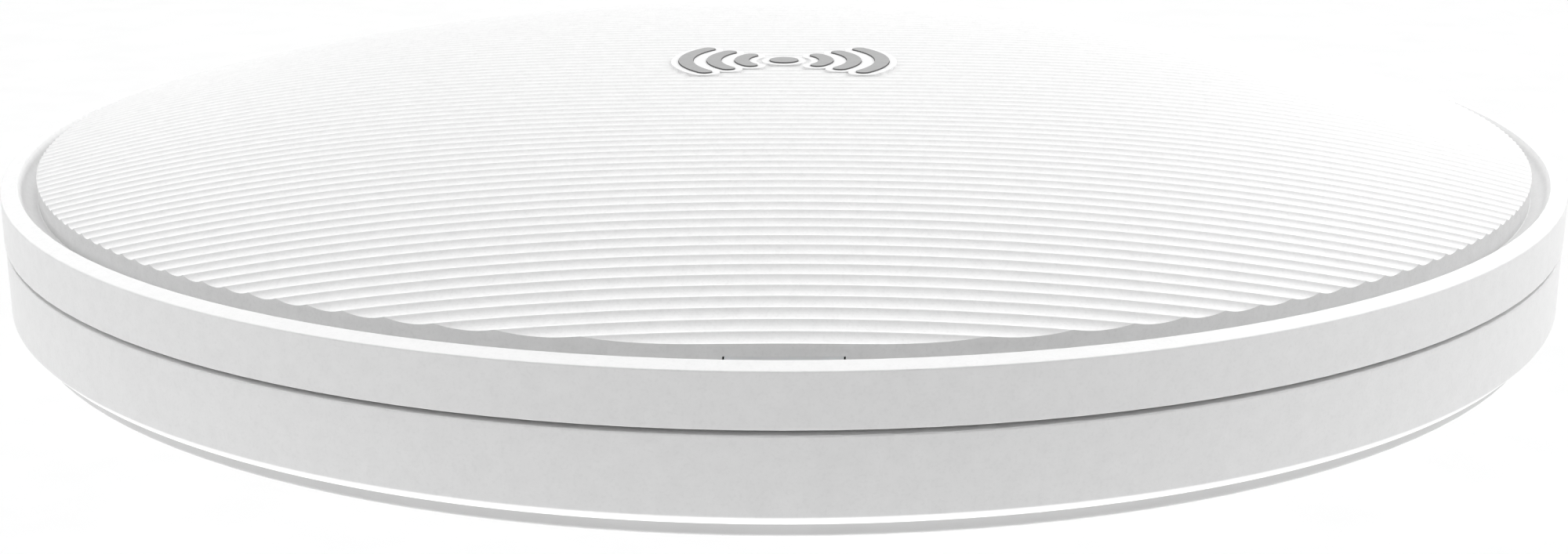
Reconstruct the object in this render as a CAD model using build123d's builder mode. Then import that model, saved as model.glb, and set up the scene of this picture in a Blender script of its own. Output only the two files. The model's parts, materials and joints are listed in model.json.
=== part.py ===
from build123d import *
import os
from math import cos, radians, sin

# Ceiling access point, in millimetres. The origin is the centre of the bracket's back face, which lies
# on the ceiling. +Z points out of the ceiling towards the room, -Y is the side with the status light.

os.makedirs("parts", exist_ok=True)

# ---- Driving dimensions ----
OUTER_R = 90.0           # bezel and widest point of the device
TOTAL_HEIGHT = 35.0      # ceiling to the dome's crown
CROWN = 9.44             # crown above the rim
RIM_Z = TOTAL_HEIGHT - CROWN

# Front bezel: the rim, the channel round the dome and the upper side wall
RIM_INNER_R = 88.18
RIM_SLOPE = 0.42         # outer edge of the rim below its inner edge
CHANNEL_FOOT_R = 86.15
CHANNEL_DEPTH = 1.85     # of the channel's foot, beside the dome
CHANNEL_SAG = 0.3        # hollow of the channel's slope
FLANGE_DEPTH = 3.26      # of the flange that the dome stands on
BEZEL_BOTTOM_Z = RIM_Z - 5.63
FLANGE_INNER_R = 82.5
FLANGE_THICKNESS = 1.4
TONGUE_R = 88.3
TONGUE_INNER_R = 86.9
TONGUE_BOTTOM_Z = 17.1

# Lower housing: the lower side wall
LOWER_R = 89.88
LOWER_TOP_Z = RIM_Z - 6.10
LOWER_BOTTOM_Z = RIM_Z - 14.47
LOWER_EDGE_R = 0.92
LOWER_SHELF_Z = 17.0
LOWER_FLOOR_TOP_Z = 12.6
LOWER_FLOOR_INNER_R = 78.0
LIP_INNER_R = 88.4

# Back plate: recessed base band, boss with the bayonet ring, port recess
BAND_R = 87.96
BAND_BOTTOM_Z = RIM_Z - 16.05
BOSS_R = 60.0
BOSS_Z = 4.2
BOSS_FLOOR = 2.0
RING_INNER_R = 49.0
RECESS_X = 28.0          # half width of the port recess
RECESS_LOW_Y = -34.0
RECESS_HIGH_Y = 4.0
RECESS_TOP_Z = 16.0
RECESS_WALL = 2.0
RECESS_ROOF = 1.4
GROOVE_R = (63.5, 77.0)
COOLING_GROOVE_DEPTH = 0.7
LABEL_R = (64.0, 78.0)
LABEL_ANGLES = (252.0, 288.0)
LABEL_THICKNESS = 0.12

# Dome cover
DOME_R = 86.1
DOME_WALL = 2.0
SKIRT_INNER_R = 84.1
HOOK_R = (80.8, 82.3)    # snap hooks: the spring arm and the grip on its end
HOOK_GRIP_R = 83.8
HOOK_Z = (19.4, 26.2)
HOOK_GRIP_TOP_Z = 20.7
HOOK_ARC = 6.0
EMBLEM_Z = TOTAL_HEIGHT + 0.17  # the inlays stand this little above the crown
EMBLEM_THICKNESS = 1.0
EMBLEM_STROKE = 1.7
EMBLEM_ARC_RADII = (5.0, 8.3, 11.6)
EMBLEM_HALF_ARC = 38.0
EMBLEM_Y = -3.2
EMBLEM_GAP = 0.05
LIGHT_WIDTH = 10.15
LIGHT_TOP_Z = RIM_Z - 0.42

# Twist lock between the bracket and the back plate
TWIST = 15.0             # degrees from locked to free
TAB_ANGLES = (30.0, 150.0, 270.0)
TAB_HALF_ARC = 4.8
TAB_STEM_R = (52.0, 53.5)
TAB_LIP_R = 57.0
TAB_LIP_Z = (6.5, 8.0)
TAB_GAP = 0.4

# Ceiling bracket
BRACKET_R = 62.0
BRACKET_THICKNESS = 1.5
CEILING_HOLE_SPACING = 76.0
CEILING_HOLE_R = 2.5
CABLE_HOLE_Y = -15.0
BOX_SLOT_SPACING = 60.3  # screws of a round junction box
BOX_SLOT_LENGTH = 9.0
BOX_SLOT_WIDTH = 4.4
EAR_HALF_WIDTH = 14.0
EAR_END_Y = 78.0

# Latch on the bracket's ear
LATCH_STROKE = 1.5
LATCH_NOSE_R = 58.5
LATCH_NOSE_WIDTH = 3.0
LATCH_HALF_WIDTH = 5.0
LATCH_TOP_Z = 8.6
LATCH_REAR_Y = 72.0
LATCH_STOP_Y = 76.5

# Main board
BOARD_R = 72.0
BOARD_BOTTOM_Z = 18.0
BOARD_THICKNESS = 1.6
BOARD_TOP_Z = BOARD_BOTTOM_Z + BOARD_THICKNESS
BOARD_SCREW_R = 66.0
BOARD_SCREW_ANGLES = (35.0, 145.0, 215.0, 325.0)

# Chips under the board, each on a soft pad on a pedestal of the back plate
PROCESSOR_X = (-8.5, 8.5)
PROCESSOR_Y = (32.0, 48.0)
PROCESSOR_HEIGHT = 1.4
RADIO_CENTRES = ((-40.0, 16.0), (40.0, 16.0))
RADIO_WIDTH = 9.0
RADIO_HEIGHT = 1.0
PAD_THICKNESS = 0.8
PEDESTAL_MARGIN = 1.5

# Parts on top of the board
SHIELD_CENTRE = (26.0, 17.0)
SHIELD_SIZE = (34.0, 26.0, 2.4)
SHIELD_SHEET = 0.25
INDUCTOR_X = (-27.0, -17.0, -7.0)
INDUCTOR_SIZE = (8.0, 8.0, 4.2)
CAPACITOR_X = (4.0, 12.0, 20.0, 28.0)
CAPACITOR_R = 3.15
CAPACITOR_HEIGHT = 5.4
POWER_ROW_Y = -42.0

# Screws
SCREW_SHANK_R = 1.45
SCREW_PILOT_R = 1.5
SCREW_CLEARANCE_R = 1.7
SCREW_HEAD_R = 2.75
SCREW_HEAD_HEIGHT = 1.9
HOUSING_SCREW_R = 83.6
HOUSING_SCREW_ANGLES = (45.0, 135.0, 225.0, 315.0)
HOUSING_SCREW_TIP_Z = 19.0
HOUSING_SCREW_SINK = 0.1  # countersunk heads, this far below the rear face
COUNTERSINK_R = 2.9
POST_R = 3.0

# Sockets in the recess wall
JACK_X = -17.5
CONSOLE_X = 1.0
POWER_X = 16.5
RESET_X = 24.3
RESET_Z = 13.5
JACK_WIDTH = 16.0
JACK_HEIGHT = 11.6
JACK_DEPTH = 21.0
JACK_FRONT_Y = 4.4
JACK_GAP = 0.2
POWER_HALF_WIDTH = 4.5
POWER_LOW_Z = 7.0
POWER_AXIS_Z = 12.6
POWER_DEPTH = 14.0


# ---- Shared geometry ----
ON_BASE = (Align.CENTER, Align.CENTER, Align.MIN)


def dome_height(radius):
    """Height of the dome's outer surface over its plan radius."""
    u = (radius / 86.0) ** 2
    return RIM_Z + CROWN - 2.39 * u - 9.01 * u**2 + 2.87 * u**3


def radial_plane(angle):
    """Upright plane through the Z axis: its x runs outwards at this angle and its y is up."""
    a = radians(angle)
    return Plane(origin=(0, 0, 0), x_dir=(cos(a), sin(a), 0), z_dir=(sin(a), -cos(a), 0))


def ring_sector(r_low, r_high, z_low, z_high, start, arc, mode=Mode.ADD):
    """Part of a ring about Z, from the angle start through arc degrees."""
    with BuildSketch(radial_plane(start)) as section:
        with Locations(((r_low + r_high) / 2, (z_low + z_high) / 2)):
            Rectangle(r_high - r_low, z_high - z_low)
    revolve(section.sketch, axis=Axis.Z, revolution_arc=arc, mode=mode)


def block(x_range, y_range, z_range, mode=Mode.ADD):
    """Box between the given low and high values along each axis."""
    centre = [(low + high) / 2 for low, high in (x_range, y_range, z_range)]
    size = [high - low for low, high in (x_range, y_range, z_range)]
    with Locations(tuple(centre)):
        Box(*size, mode=mode)


def on_circle(radius, angles):
    """Points on a circle about the origin."""
    return [(radius * cos(radians(a)), radius * sin(radians(a))) for a in angles]


def save(builder, name):
    """Labels the finished piece and writes it to its own file."""
    builder.part.label = name
    export_step(builder.part, f"parts/{name}.step")


# ---- Ceiling bracket: pressed steel plate with three bayonet tabs and the latch guide ----
with BuildPart() as ceiling_bracket:
    with BuildSketch(Plane.XY):
        Circle(BRACKET_R)
        with Locations((0, (50.0 + EAR_END_Y) / 2)):
            Rectangle(2 * EAR_HALF_WIDTH, EAR_END_Y - 50.0)
        with Locations((0, CABLE_HOLE_Y)):
            RectangleRounded(48.0, 30.0, 6.0, mode=Mode.SUBTRACT)
        with GridLocations(CEILING_HOLE_SPACING, CEILING_HOLE_SPACING, 2, 2):
            Circle(CEILING_HOLE_R, mode=Mode.SUBTRACT)
        with Locations((0, CABLE_HOLE_Y)):
            with GridLocations(BOX_SLOT_SPACING, 0, 2, 1):
                SlotOverall(BOX_SLOT_LENGTH, BOX_SLOT_WIDTH, mode=Mode.SUBTRACT)
    extrude(amount=BRACKET_THICKNESS)
    fillet(ceiling_bracket.edges().filter_by(Axis.Z).group_by(Axis.Y)[-1], 3.0)
    for angle in TAB_ANGLES:
        start = angle - TAB_HALF_ARC
        ring_sector(*TAB_STEM_R, BRACKET_THICKNESS, TAB_LIP_Z[1], start, 2 * TAB_HALF_ARC)
        ring_sector(TAB_STEM_R[0], TAB_LIP_R, *TAB_LIP_Z, start, 2 * TAB_HALF_ARC)
    for side in (-1, 1):
        wall = sorted((side * 6.9, side * 8.4))
        lip = sorted((side * 5.3, side * 8.4))
        block(wall, (64.0, 73.0), (BRACKET_THICKNESS, 4.7))
        block(lip, (64.0, 73.0), (3.3, 4.7))
    block((-8.4, 8.4), (LATCH_STOP_Y, EAR_END_Y), (BRACKET_THICKNESS, 5.8))
save(ceiling_bracket, "ceiling_bracket")

# ---- Latch: moulded slide whose nose rides on the ramp in the boss's side ----
with BuildPart() as latch_slide:
    block((-6.6, 6.6), (64.5, LATCH_REAR_Y), (1.7, 3.0))
    block((-LATCH_HALF_WIDTH, LATCH_HALF_WIDTH), (60.6, LATCH_REAR_Y), (3.0, LATCH_TOP_Z))
    block((-LATCH_HALF_WIDTH, LATCH_HALF_WIDTH), (LATCH_REAR_Y, 83.0), (6.4, LATCH_TOP_Z))
    block((-LATCH_NOSE_WIDTH / 2, LATCH_NOSE_WIDTH / 2), (LATCH_NOSE_R, 60.6), (4.8, LATCH_TOP_Z))
    block((-LATCH_HALF_WIDTH, LATCH_HALF_WIDTH), (81.4, 83.0), (4.6, 6.4))
    for groove_y in (75.0, 77.0, 79.0):
        with Locations((0, groove_y, LATCH_TOP_Z)):
            Box(2 * LATCH_HALF_WIDTH, 0.8, 0.8, mode=Mode.SUBTRACT)
save(latch_slide, "latch_slide")

# ---- Latch spring: bowed steel strip between the slide and the ear's stop ----
with BuildPart() as latch_spring:
    with BuildSketch(Plane.XY.offset(1.9)):
        with BuildLine():
            ThreePointArc((-5.0, LATCH_STOP_Y - 0.1), (0, LATCH_REAR_Y + 0.1), (5.0, LATCH_STOP_Y - 0.1))
            Line((5.0, LATCH_STOP_Y - 0.1), (4.5, LATCH_STOP_Y - 0.1))
            ThreePointArc((4.5, LATCH_STOP_Y - 0.1), (0, LATCH_REAR_Y + 0.5), (-4.5, LATCH_STOP_Y - 0.1))
            Line((-4.5, LATCH_STOP_Y - 0.1), (-5.0, LATCH_STOP_Y - 0.1))
        make_face()
    extrude(amount=3.0)
save(latch_spring, "latch_spring")

# ---- Back plate: cast base with the boss, the bayonet ring and the port recess ----
with BuildPart() as back_plate:
    with BuildSketch(Plane.XZ) as plate_section:
        with BuildLine():
            Polyline(
                (0, BOSS_Z),
                (BOSS_R, BOSS_Z),
                (BOSS_R, BAND_BOTTOM_Z),
                (BAND_R, BAND_BOTTOM_Z),
                (BAND_R, LOWER_BOTTOM_Z),
                (RING_INNER_R, LOWER_BOTTOM_Z),
                (RING_INNER_R, BOSS_Z + BOSS_FLOOR),
                (0, BOSS_Z + BOSS_FLOOR),
                close=True,
            )
        make_face()
        boss_edge = plate_section.vertices().sort_by_distance((BOSS_R, BOSS_Z, 0))[0]
        fillet(boss_edge, 1.2)
        band_edge = plate_section.vertices().sort_by_distance((BAND_R, BAND_BOTTOM_Z, 0))[0]
        fillet(band_edge, 0.35)
    revolve(axis=Axis.Z)

    # Port recess, open to the ceiling
    outer_x = RECESS_X + RECESS_WALL
    roof_z = RECESS_TOP_Z + RECESS_ROOF
    block(
        (-outer_x, outer_x),
        (RECESS_LOW_Y - RECESS_WALL, RECESS_HIGH_Y + RECESS_WALL),
        (BOSS_Z, roof_z),
    )
    block((-RECESS_X, RECESS_X), (RECESS_LOW_Y, RECESS_HIGH_Y), (BOSS_Z, RECESS_TOP_Z), Mode.SUBTRACT)
    for centre_x in (JACK_X, CONSOLE_X):
        half = JACK_WIDTH / 2 + JACK_GAP
        jack_low_z = BOARD_BOTTOM_Z - JACK_HEIGHT - JACK_GAP
        block(
            (centre_x - half, centre_x + half),
            (RECESS_HIGH_Y, RECESS_HIGH_Y + RECESS_WALL),
            (jack_low_z, roof_z),
            Mode.SUBTRACT,
        )
    block(
        (POWER_X - POWER_HALF_WIDTH - JACK_GAP, POWER_X + POWER_HALF_WIDTH + JACK_GAP),
        (RECESS_HIGH_Y, RECESS_HIGH_Y + RECESS_WALL),
        (POWER_LOW_Z - JACK_GAP, roof_z),
        Mode.SUBTRACT,
    )
    with BuildSketch(Plane.XZ.offset(-RECESS_HIGH_Y)):
        with Locations((RESET_X, RESET_Z)):
            Circle(1.5)
    extrude(amount=-RECESS_WALL, mode=Mode.SUBTRACT)

    # Bayonet pockets: a wide entry, then a narrow neck under the ledge that the tab hooks on
    pocket_r = TAB_STEM_R[0] - 2 * TAB_GAP, TAB_LIP_R + TAB_GAP
    neck_r = TAB_STEM_R[0] - TAB_GAP, TAB_STEM_R[1] + TAB_GAP
    pocket_top = TAB_LIP_Z[1] + 0.6
    for angle in TAB_ANGLES:
        half = TAB_HALF_ARC + 0.8
        first = angle - TWIST - half
        ring_sector(*pocket_r, BOSS_Z, pocket_top, first, 2 * half, Mode.SUBTRACT)
        ring_sector(*pocket_r, BOSS_Z + BOSS_FLOOR, pocket_top, first, TWIST + 2 * half, Mode.SUBTRACT)
        ring_sector(*neck_r, BOSS_Z, pocket_top, first, TWIST + 2 * half, Mode.SUBTRACT)

    # Ramp for the latch: its radius grows by the latch's stroke over the twist
    ramp_angles = (92.2, 81.0, 70.0)
    slope = LATCH_STROKE / TWIST
    ramp = [
        ((LATCH_NOSE_R - 0.5 + slope * (90 - a)) * cos(radians(a)),
         (LATCH_NOSE_R - 0.5 + slope * (90 - a)) * sin(radians(a)))
        for a in ramp_angles
    ]
    first_out, last_out = on_circle(BOSS_R + 2.0, (ramp_angles[0], ramp_angles[-1]))
    with BuildSketch(Plane.XY.offset(BOSS_Z)):
        with BuildLine():
            ThreePointArc(*ramp)
            Line(ramp[-1], last_out)
            RadiusArc(last_out, first_out, -(BOSS_R + 2.0))
            Line(first_out, ramp[0])
        make_face()
    extrude(amount=BAND_BOTTOM_Z - BOSS_Z, mode=Mode.SUBTRACT)

    # Board posts
    with BuildSketch(Plane.XY.offset(LOWER_BOTTOM_Z)):
        with Locations(*on_circle(BOARD_SCREW_R, BOARD_SCREW_ANGLES)):
            Circle(POST_R)
    extrude(amount=BOARD_BOTTOM_Z - LOWER_BOTTOM_Z)
    with BuildSketch(Plane.XY.offset(BOARD_BOTTOM_Z)):
        with Locations(*on_circle(BOARD_SCREW_R, BOARD_SCREW_ANGLES)):
            Circle(SCREW_PILOT_R)
    extrude(amount=-6.0, mode=Mode.SUBTRACT)

    # Pedestals that carry heat from the chips
    floor_z = BOSS_Z + BOSS_FLOOR
    block(
        (PROCESSOR_X[0] - PEDESTAL_MARGIN, PROCESSOR_X[1] + PEDESTAL_MARGIN),
        (PROCESSOR_Y[0] - PEDESTAL_MARGIN, PROCESSOR_Y[1] + PEDESTAL_MARGIN),
        (floor_z, BOARD_BOTTOM_Z - PROCESSOR_HEIGHT - PAD_THICKNESS),
    )
    pedestal_half = RADIO_WIDTH / 2 + PEDESTAL_MARGIN
    for x, y in RADIO_CENTRES:
        block(
            (x - pedestal_half, x + pedestal_half),
            (y - pedestal_half, y + pedestal_half),
            (floor_z, BOARD_BOTTOM_Z - RADIO_HEIGHT - PAD_THICKNESS),
        )

    # Cooling grooves in the rear face, left out beside the latch, the label and the security slot
    for groove_angle in range(0, 360, 8):
        beside_latch = 72 < groove_angle < 108
        beside_label = LABEL_ANGLES[0] - 3 < groove_angle < LABEL_ANGLES[1] + 3
        beside_slot = 173 < groove_angle < 187
        if not (beside_latch or beside_label or beside_slot):
            groove = GROOVE_R[0], GROOVE_R[1], BAND_BOTTOM_Z, BAND_BOTTOM_Z + COOLING_GROOVE_DEPTH
            ring_sector(*groove, groove_angle - 1.0, 2.0, Mode.SUBTRACT)

    # Screw holes and the security slot
    with BuildSketch(Plane.XY.offset(BAND_BOTTOM_Z)):
        with Locations(*on_circle(HOUSING_SCREW_R, HOUSING_SCREW_ANGLES)):
            Circle(SCREW_CLEARANCE_R)
        with Locations((-74.0, 0)):
            SlotOverall(7.0, 3.0, rotation=90)
    extrude(amount=LOWER_BOTTOM_Z - BAND_BOTTOM_Z, mode=Mode.SUBTRACT)
    sink_depth = COUNTERSINK_R - SCREW_CLEARANCE_R
    with Locations(*[(x, y, BAND_BOTTOM_Z) for x, y in on_circle(HOUSING_SCREW_R, HOUSING_SCREW_ANGLES)]):
        Cone(COUNTERSINK_R, SCREW_CLEARANCE_R, sink_depth, align=ON_BASE, mode=Mode.SUBTRACT)
save(back_plate, "back_plate")

# ---- Rating label: plain foil on the back plate's rear face ----
with BuildPart() as rating_label:
    label_arc = LABEL_ANGLES[1] - LABEL_ANGLES[0]
    ring_sector(*LABEL_R, BAND_BOTTOM_Z - LABEL_THICKNESS, BAND_BOTTOM_Z, LABEL_ANGLES[0], label_arc)
    fillet(rating_label.edges().filter_by(Axis.Z), 1.2)
save(rating_label, "rating_label")

# ---- Lower housing: the lower side wall, with a rounded bottom edge and a floor flange ----
with BuildPart() as lower_housing:
    with BuildSketch(Plane.XZ) as lower_section:
        with BuildLine():
            Polyline(
                (LOWER_FLOOR_INNER_R, LOWER_BOTTOM_Z),
                (LOWER_R, LOWER_BOTTOM_Z),
                (LOWER_R, LOWER_TOP_Z),
                (LIP_INNER_R, LOWER_TOP_Z),
                (LIP_INNER_R, LOWER_SHELF_Z),
                (TONGUE_INNER_R, LOWER_SHELF_Z),
                (TONGUE_INNER_R, LOWER_FLOOR_TOP_Z),
                (LOWER_FLOOR_INNER_R, LOWER_FLOOR_TOP_Z),
                close=True,
            )
        make_face()
        fillet(lower_section.vertices().sort_by_distance((LOWER_R, LOWER_BOTTOM_Z, 0))[0], LOWER_EDGE_R)
        fillet(lower_section.vertices().sort_by_distance((LOWER_R, LOWER_TOP_Z, 0))[0], 0.12)
    revolve(axis=Axis.Z)
    with BuildSketch(Plane.XY.offset(LOWER_BOTTOM_Z)):
        with Locations(*on_circle(HOUSING_SCREW_R, HOUSING_SCREW_ANGLES)):
            Circle(SCREW_CLEARANCE_R)
    extrude(amount=LOWER_FLOOR_TOP_Z - LOWER_BOTTOM_Z, mode=Mode.SUBTRACT)
    for rib_angle in range(0, 360, 30):
        ring_sector(84.9, TONGUE_INNER_R + 0.1, LOWER_FLOOR_TOP_Z, 16.4, rib_angle - 0.5, 1.0)
save(lower_housing, "lower_housing")

# ---- Front bezel: rim, channel, upper side wall, and the posts for the housing screws ----
FLANGE_TOP_Z = RIM_Z - FLANGE_DEPTH
CHANNEL_FOOT_Z = RIM_Z - CHANNEL_DEPTH
with BuildPart() as front_bezel:
    with BuildSketch(Plane.XZ) as bezel_section:
        with BuildLine():
            Polyline(
                (CHANNEL_FOOT_R, CHANNEL_FOOT_Z),
                (CHANNEL_FOOT_R, FLANGE_TOP_Z),
                (FLANGE_INNER_R, FLANGE_TOP_Z),
                (FLANGE_INNER_R, FLANGE_TOP_Z - FLANGE_THICKNESS),
                (TONGUE_INNER_R, FLANGE_TOP_Z - FLANGE_THICKNESS),
                (TONGUE_INNER_R, TONGUE_BOTTOM_Z),
                (TONGUE_R, TONGUE_BOTTOM_Z),
                (TONGUE_R, BEZEL_BOTTOM_Z),
                (OUTER_R, BEZEL_BOTTOM_Z),
                (OUTER_R, RIM_Z - RIM_SLOPE),
                (RIM_INNER_R, RIM_Z),
            )
            SagittaArc((RIM_INNER_R, RIM_Z), (CHANNEL_FOOT_R, CHANNEL_FOOT_Z), CHANNEL_SAG)
        make_face()
        fillet(bezel_section.vertices().sort_by_distance((OUTER_R, RIM_Z - RIM_SLOPE, 0))[0], 0.15)
        fillet(bezel_section.vertices().sort_by_distance((OUTER_R, BEZEL_BOTTOM_Z, 0))[0], 0.12)
    revolve(axis=Axis.Z)
    with BuildSketch(Plane.XY.offset(LOWER_FLOOR_TOP_Z)):
        with Locations(*on_circle(HOUSING_SCREW_R, HOUSING_SCREW_ANGLES)):
            Circle(POST_R)
    extrude(amount=FLANGE_TOP_Z - FLANGE_THICKNESS - LOWER_FLOOR_TOP_Z + 0.2)
    with BuildSketch(Plane.XY.offset(LOWER_FLOOR_TOP_Z)):
        with Locations(*on_circle(HOUSING_SCREW_R, HOUSING_SCREW_ANGLES)):
            Circle(SCREW_PILOT_R)
    extrude(amount=HOUSING_SCREW_TIP_Z + 0.4 - LOWER_FLOOR_TOP_Z, mode=Mode.SUBTRACT)
save(front_bezel, "front_bezel")


# ---- Emblem: a dot between two stacks of arcs, inlaid in the dome ----
def emblem_outline(grow):
    """Sketch of the emblem, every shape grown by this much."""
    with BuildSketch(Plane.XY) as outline:
        with Locations((0, EMBLEM_Y)):
            Circle(EMBLEM_STROKE + grow)
        for arc_radius in EMBLEM_ARC_RADII:
            for middle in (0, 180):
                start = middle - EMBLEM_HALF_ARC
                bow = CenterArc((0, EMBLEM_Y), arc_radius, start, 2 * EMBLEM_HALF_ARC, mode=Mode.PRIVATE)
                SlotArc(bow, EMBLEM_STROKE + 2 * grow)
    return outline.sketch


# ---- Dome cover: radome with a side wall that stands in the bezel's channel ----
DOME_SAMPLES = (0, 20, 40, 55, 70, 80, DOME_R)
with BuildPart() as dome_cover:
    with BuildSketch(Plane.XZ):
        with BuildLine():
            outer = Spline(*[(r, dome_height(r)) for r in DOME_SAMPLES])
            inner_radii = (SKIRT_INNER_R, 75, 60, 45, 30, 15, 0)
            inner = Spline(*[(r, dome_height(r) - DOME_WALL) for r in inner_radii])
            Polyline(outer @ 1, (DOME_R, FLANGE_TOP_Z), (SKIRT_INNER_R, FLANGE_TOP_Z), inner @ 0)
            Line(inner @ 1, outer @ 0)
        make_face()
    revolve(axis=Axis.Z)
    # Snap hooks that grip under the bezel's flange
    for hook_angle in range(0, 360, 60):
        start = hook_angle - HOOK_ARC / 2
        ring_sector(*HOOK_R, *HOOK_Z, start, HOOK_ARC)
        ring_sector(HOOK_R[1], HOOK_GRIP_R, HOOK_Z[0], HOOK_GRIP_TOP_Z, start, HOOK_ARC)
    # Window for the light guide
    window = LIGHT_WIDTH / 2 + 0.09
    block((-window, window), (-88.0, -83.0), (FLANGE_TOP_Z, LIGHT_TOP_Z + 0.09), Mode.SUBTRACT)
    # Recess for the emblem
    add(emblem_outline(EMBLEM_GAP).moved(Location((0, 0, EMBLEM_Z - EMBLEM_THICKNESS - 0.1))))
    extrude(amount=2.0, mode=Mode.SUBTRACT)
save(dome_cover, "dome_cover")

with BuildPart() as emblem_inlays:
    add(emblem_outline(0).moved(Location((0, 0, EMBLEM_Z - EMBLEM_THICKNESS))))
    extrude(amount=EMBLEM_THICKNESS)
save(emblem_inlays, "emblem_inlays")

# ---- Light guide: clear bar from the status light to the window in the dome's side wall ----
with BuildPart() as light_guide:
    half_width = LIGHT_WIDTH / 2
    block((-half_width, half_width), (-DOME_R - 1, -66.5), (FLANGE_TOP_Z + 0.1, LIGHT_TOP_Z))
    block((-2.5, 2.5), (-69.5, -66.5), (20.6, FLANGE_TOP_Z + 0.1))
    Cylinder(DOME_R, 3 * TOTAL_HEIGHT, mode=Mode.INTERSECT)
save(light_guide, "light_guide")

# ---- Main board ----
with BuildPart() as main_board:
    with BuildSketch(Plane.XY.offset(BOARD_BOTTOM_Z)):
        Circle(BOARD_R)
        with Locations(*on_circle(BOARD_SCREW_R, BOARD_SCREW_ANGLES)):
            Circle(SCREW_CLEARANCE_R, mode=Mode.SUBTRACT)
        for notch_x in (-BOARD_R, BOARD_R):
            with Locations((notch_x, 0)):
                Rectangle(6.0, 12.0, mode=Mode.SUBTRACT)
    extrude(amount=BOARD_THICKNESS)
save(main_board, "main_board")

# ---- Chips under the board, and the pads that join them to the back plate ----
PROCESSOR_LOW_Z = BOARD_BOTTOM_Z - PROCESSOR_HEIGHT
RADIO_LOW_Z = BOARD_BOTTOM_Z - RADIO_HEIGHT
with BuildPart() as processor_chip:
    block(PROCESSOR_X, PROCESSOR_Y, (PROCESSOR_LOW_Z, BOARD_BOTTOM_Z))
save(processor_chip, "processor_chip")

with BuildPart() as processor_thermal_pad:
    block(PROCESSOR_X, PROCESSOR_Y, (PROCESSOR_LOW_Z - PAD_THICKNESS, PROCESSOR_LOW_Z))
save(processor_thermal_pad, "processor_thermal_pad")

with BuildPart() as radio_chips:
    with Locations(*[(x, y, RADIO_LOW_Z) for x, y in RADIO_CENTRES]):
        Box(RADIO_WIDTH, RADIO_WIDTH, RADIO_HEIGHT, align=ON_BASE)
save(radio_chips, "radio_chips")

with BuildPart() as radio_thermal_pads:
    with Locations(*[(x, y, RADIO_LOW_Z - PAD_THICKNESS) for x, y in RADIO_CENTRES]):
        Box(RADIO_WIDTH, RADIO_WIDTH, PAD_THICKNESS, align=ON_BASE)
save(radio_thermal_pads, "radio_thermal_pads")

# ---- Parts on top of the board ----
with BuildPart() as memory_chips:
    with Locations((-9.0, 52.0, BOARD_TOP_Z), (9.0, 52.0, BOARD_TOP_Z)):
        Box(11.0, 13.0, 1.0, align=ON_BASE)
save(memory_chips, "memory_chips")


def shield_can(name, centre_x):
    """Folded tinplate lid over one radio's front end."""
    with BuildPart() as can:
        with Locations((centre_x, SHIELD_CENTRE[1], BOARD_TOP_Z)):
            Box(*SHIELD_SIZE, align=ON_BASE)
        fillet(can.edges().filter_by(Axis.Z), 1.0)
        offset(amount=-SHIELD_SHEET, openings=can.faces().sort_by(Axis.Z)[0])
        with BuildSketch(Plane.XY.offset(BOARD_TOP_Z + SHIELD_SIZE[2])):
            with Locations((centre_x, SHIELD_CENTRE[1])):
                with GridLocations(7.0, 7.0, 4, 3):
                    Circle(0.8)
        extrude(amount=-2 * SHIELD_SHEET, mode=Mode.SUBTRACT)
    save(can, name)


shield_can("shield_can_left", -SHIELD_CENTRE[0])
shield_can("shield_can_right", SHIELD_CENTRE[0])

with BuildPart() as power_inductors:
    with Locations(*[(x, POWER_ROW_Y, BOARD_TOP_Z) for x in INDUCTOR_X]):
        Box(*INDUCTOR_SIZE, align=ON_BASE)
    fillet(power_inductors.edges().filter_by(Axis.Z), 1.5)
save(power_inductors, "power_inductors")

with BuildPart() as filter_capacitors:
    with Locations(*[(x, POWER_ROW_Y, BOARD_TOP_Z) for x in CAPACITOR_X]):
        Cylinder(CAPACITOR_R, CAPACITOR_HEIGHT, align=ON_BASE)
    fillet(filter_capacitors.edges().group_by(Axis.Z)[-1], 0.5)
save(filter_capacitors, "filter_capacitors")

with BuildPart() as status_led:
    block((-1.6, 1.6), (-69.2, -66.8), (BOARD_TOP_Z, BOARD_TOP_Z + 0.7))
save(status_led, "status_led")

# ---- Power-over-Ethernet transformer under the board ----
with BuildPart() as poe_transformer:
    block((31.5, 41.5), (-22.0, -8.0), (9.4, 16.9))
    block((32.5, 40.5), (-24.0, -6.0), (16.9, BOARD_BOTTOM_Z))
    fillet(poe_transformer.edges().filter_by(Axis.Z).group_by(Axis.Y)[0], 0.6)
save(poe_transformer, "poe_transformer")


# ---- Ethernet and console sockets ----
CAVITY_BOTTOM_Z = BOARD_BOTTOM_Z - JACK_HEIGHT + 1.2
CAVITY_DEPTH = 13.0


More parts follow.
